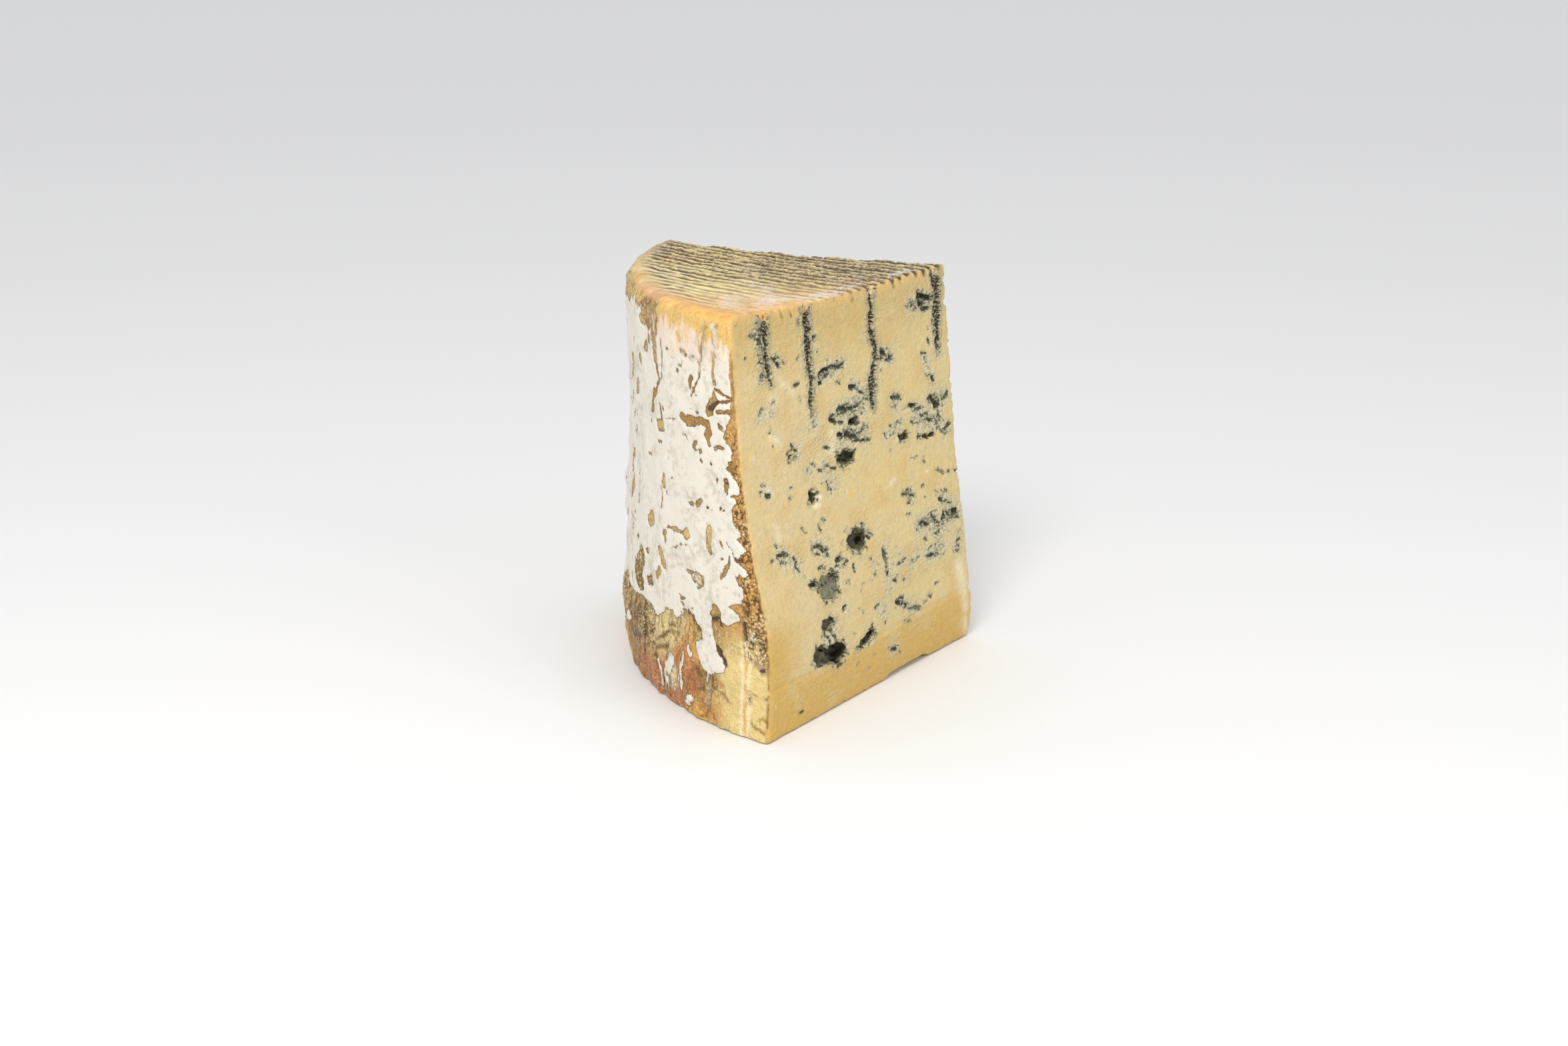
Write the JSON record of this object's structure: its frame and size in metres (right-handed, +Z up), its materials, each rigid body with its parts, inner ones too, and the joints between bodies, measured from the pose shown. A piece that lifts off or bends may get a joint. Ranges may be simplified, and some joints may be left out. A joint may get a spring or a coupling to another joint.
{
  "type": "blue cheese wedge",
  "caption": "Tall wedge cut from a drum-shaped blue cheese: two cut faces with mould-lined holes and needle channels, a bloomy rind and a ridged top.",
  "frame": {"origin": "middle of the wedge's box, on the flat foot that it stands on", "axes": "+Z up; +X along the front cut, from the rind to the tip; the front cut faces -Y; +Y is behind it, towards the back cut"},
  "size_m": [0.1332, 0.1295, 0.1467],
  "materials": {
    "cheese": "moist, softly satin paste with a matt rind"
  },
  "bodies": {
    "root": {"cheese_wedge": "cheese"}
  },
  "joints": []
}
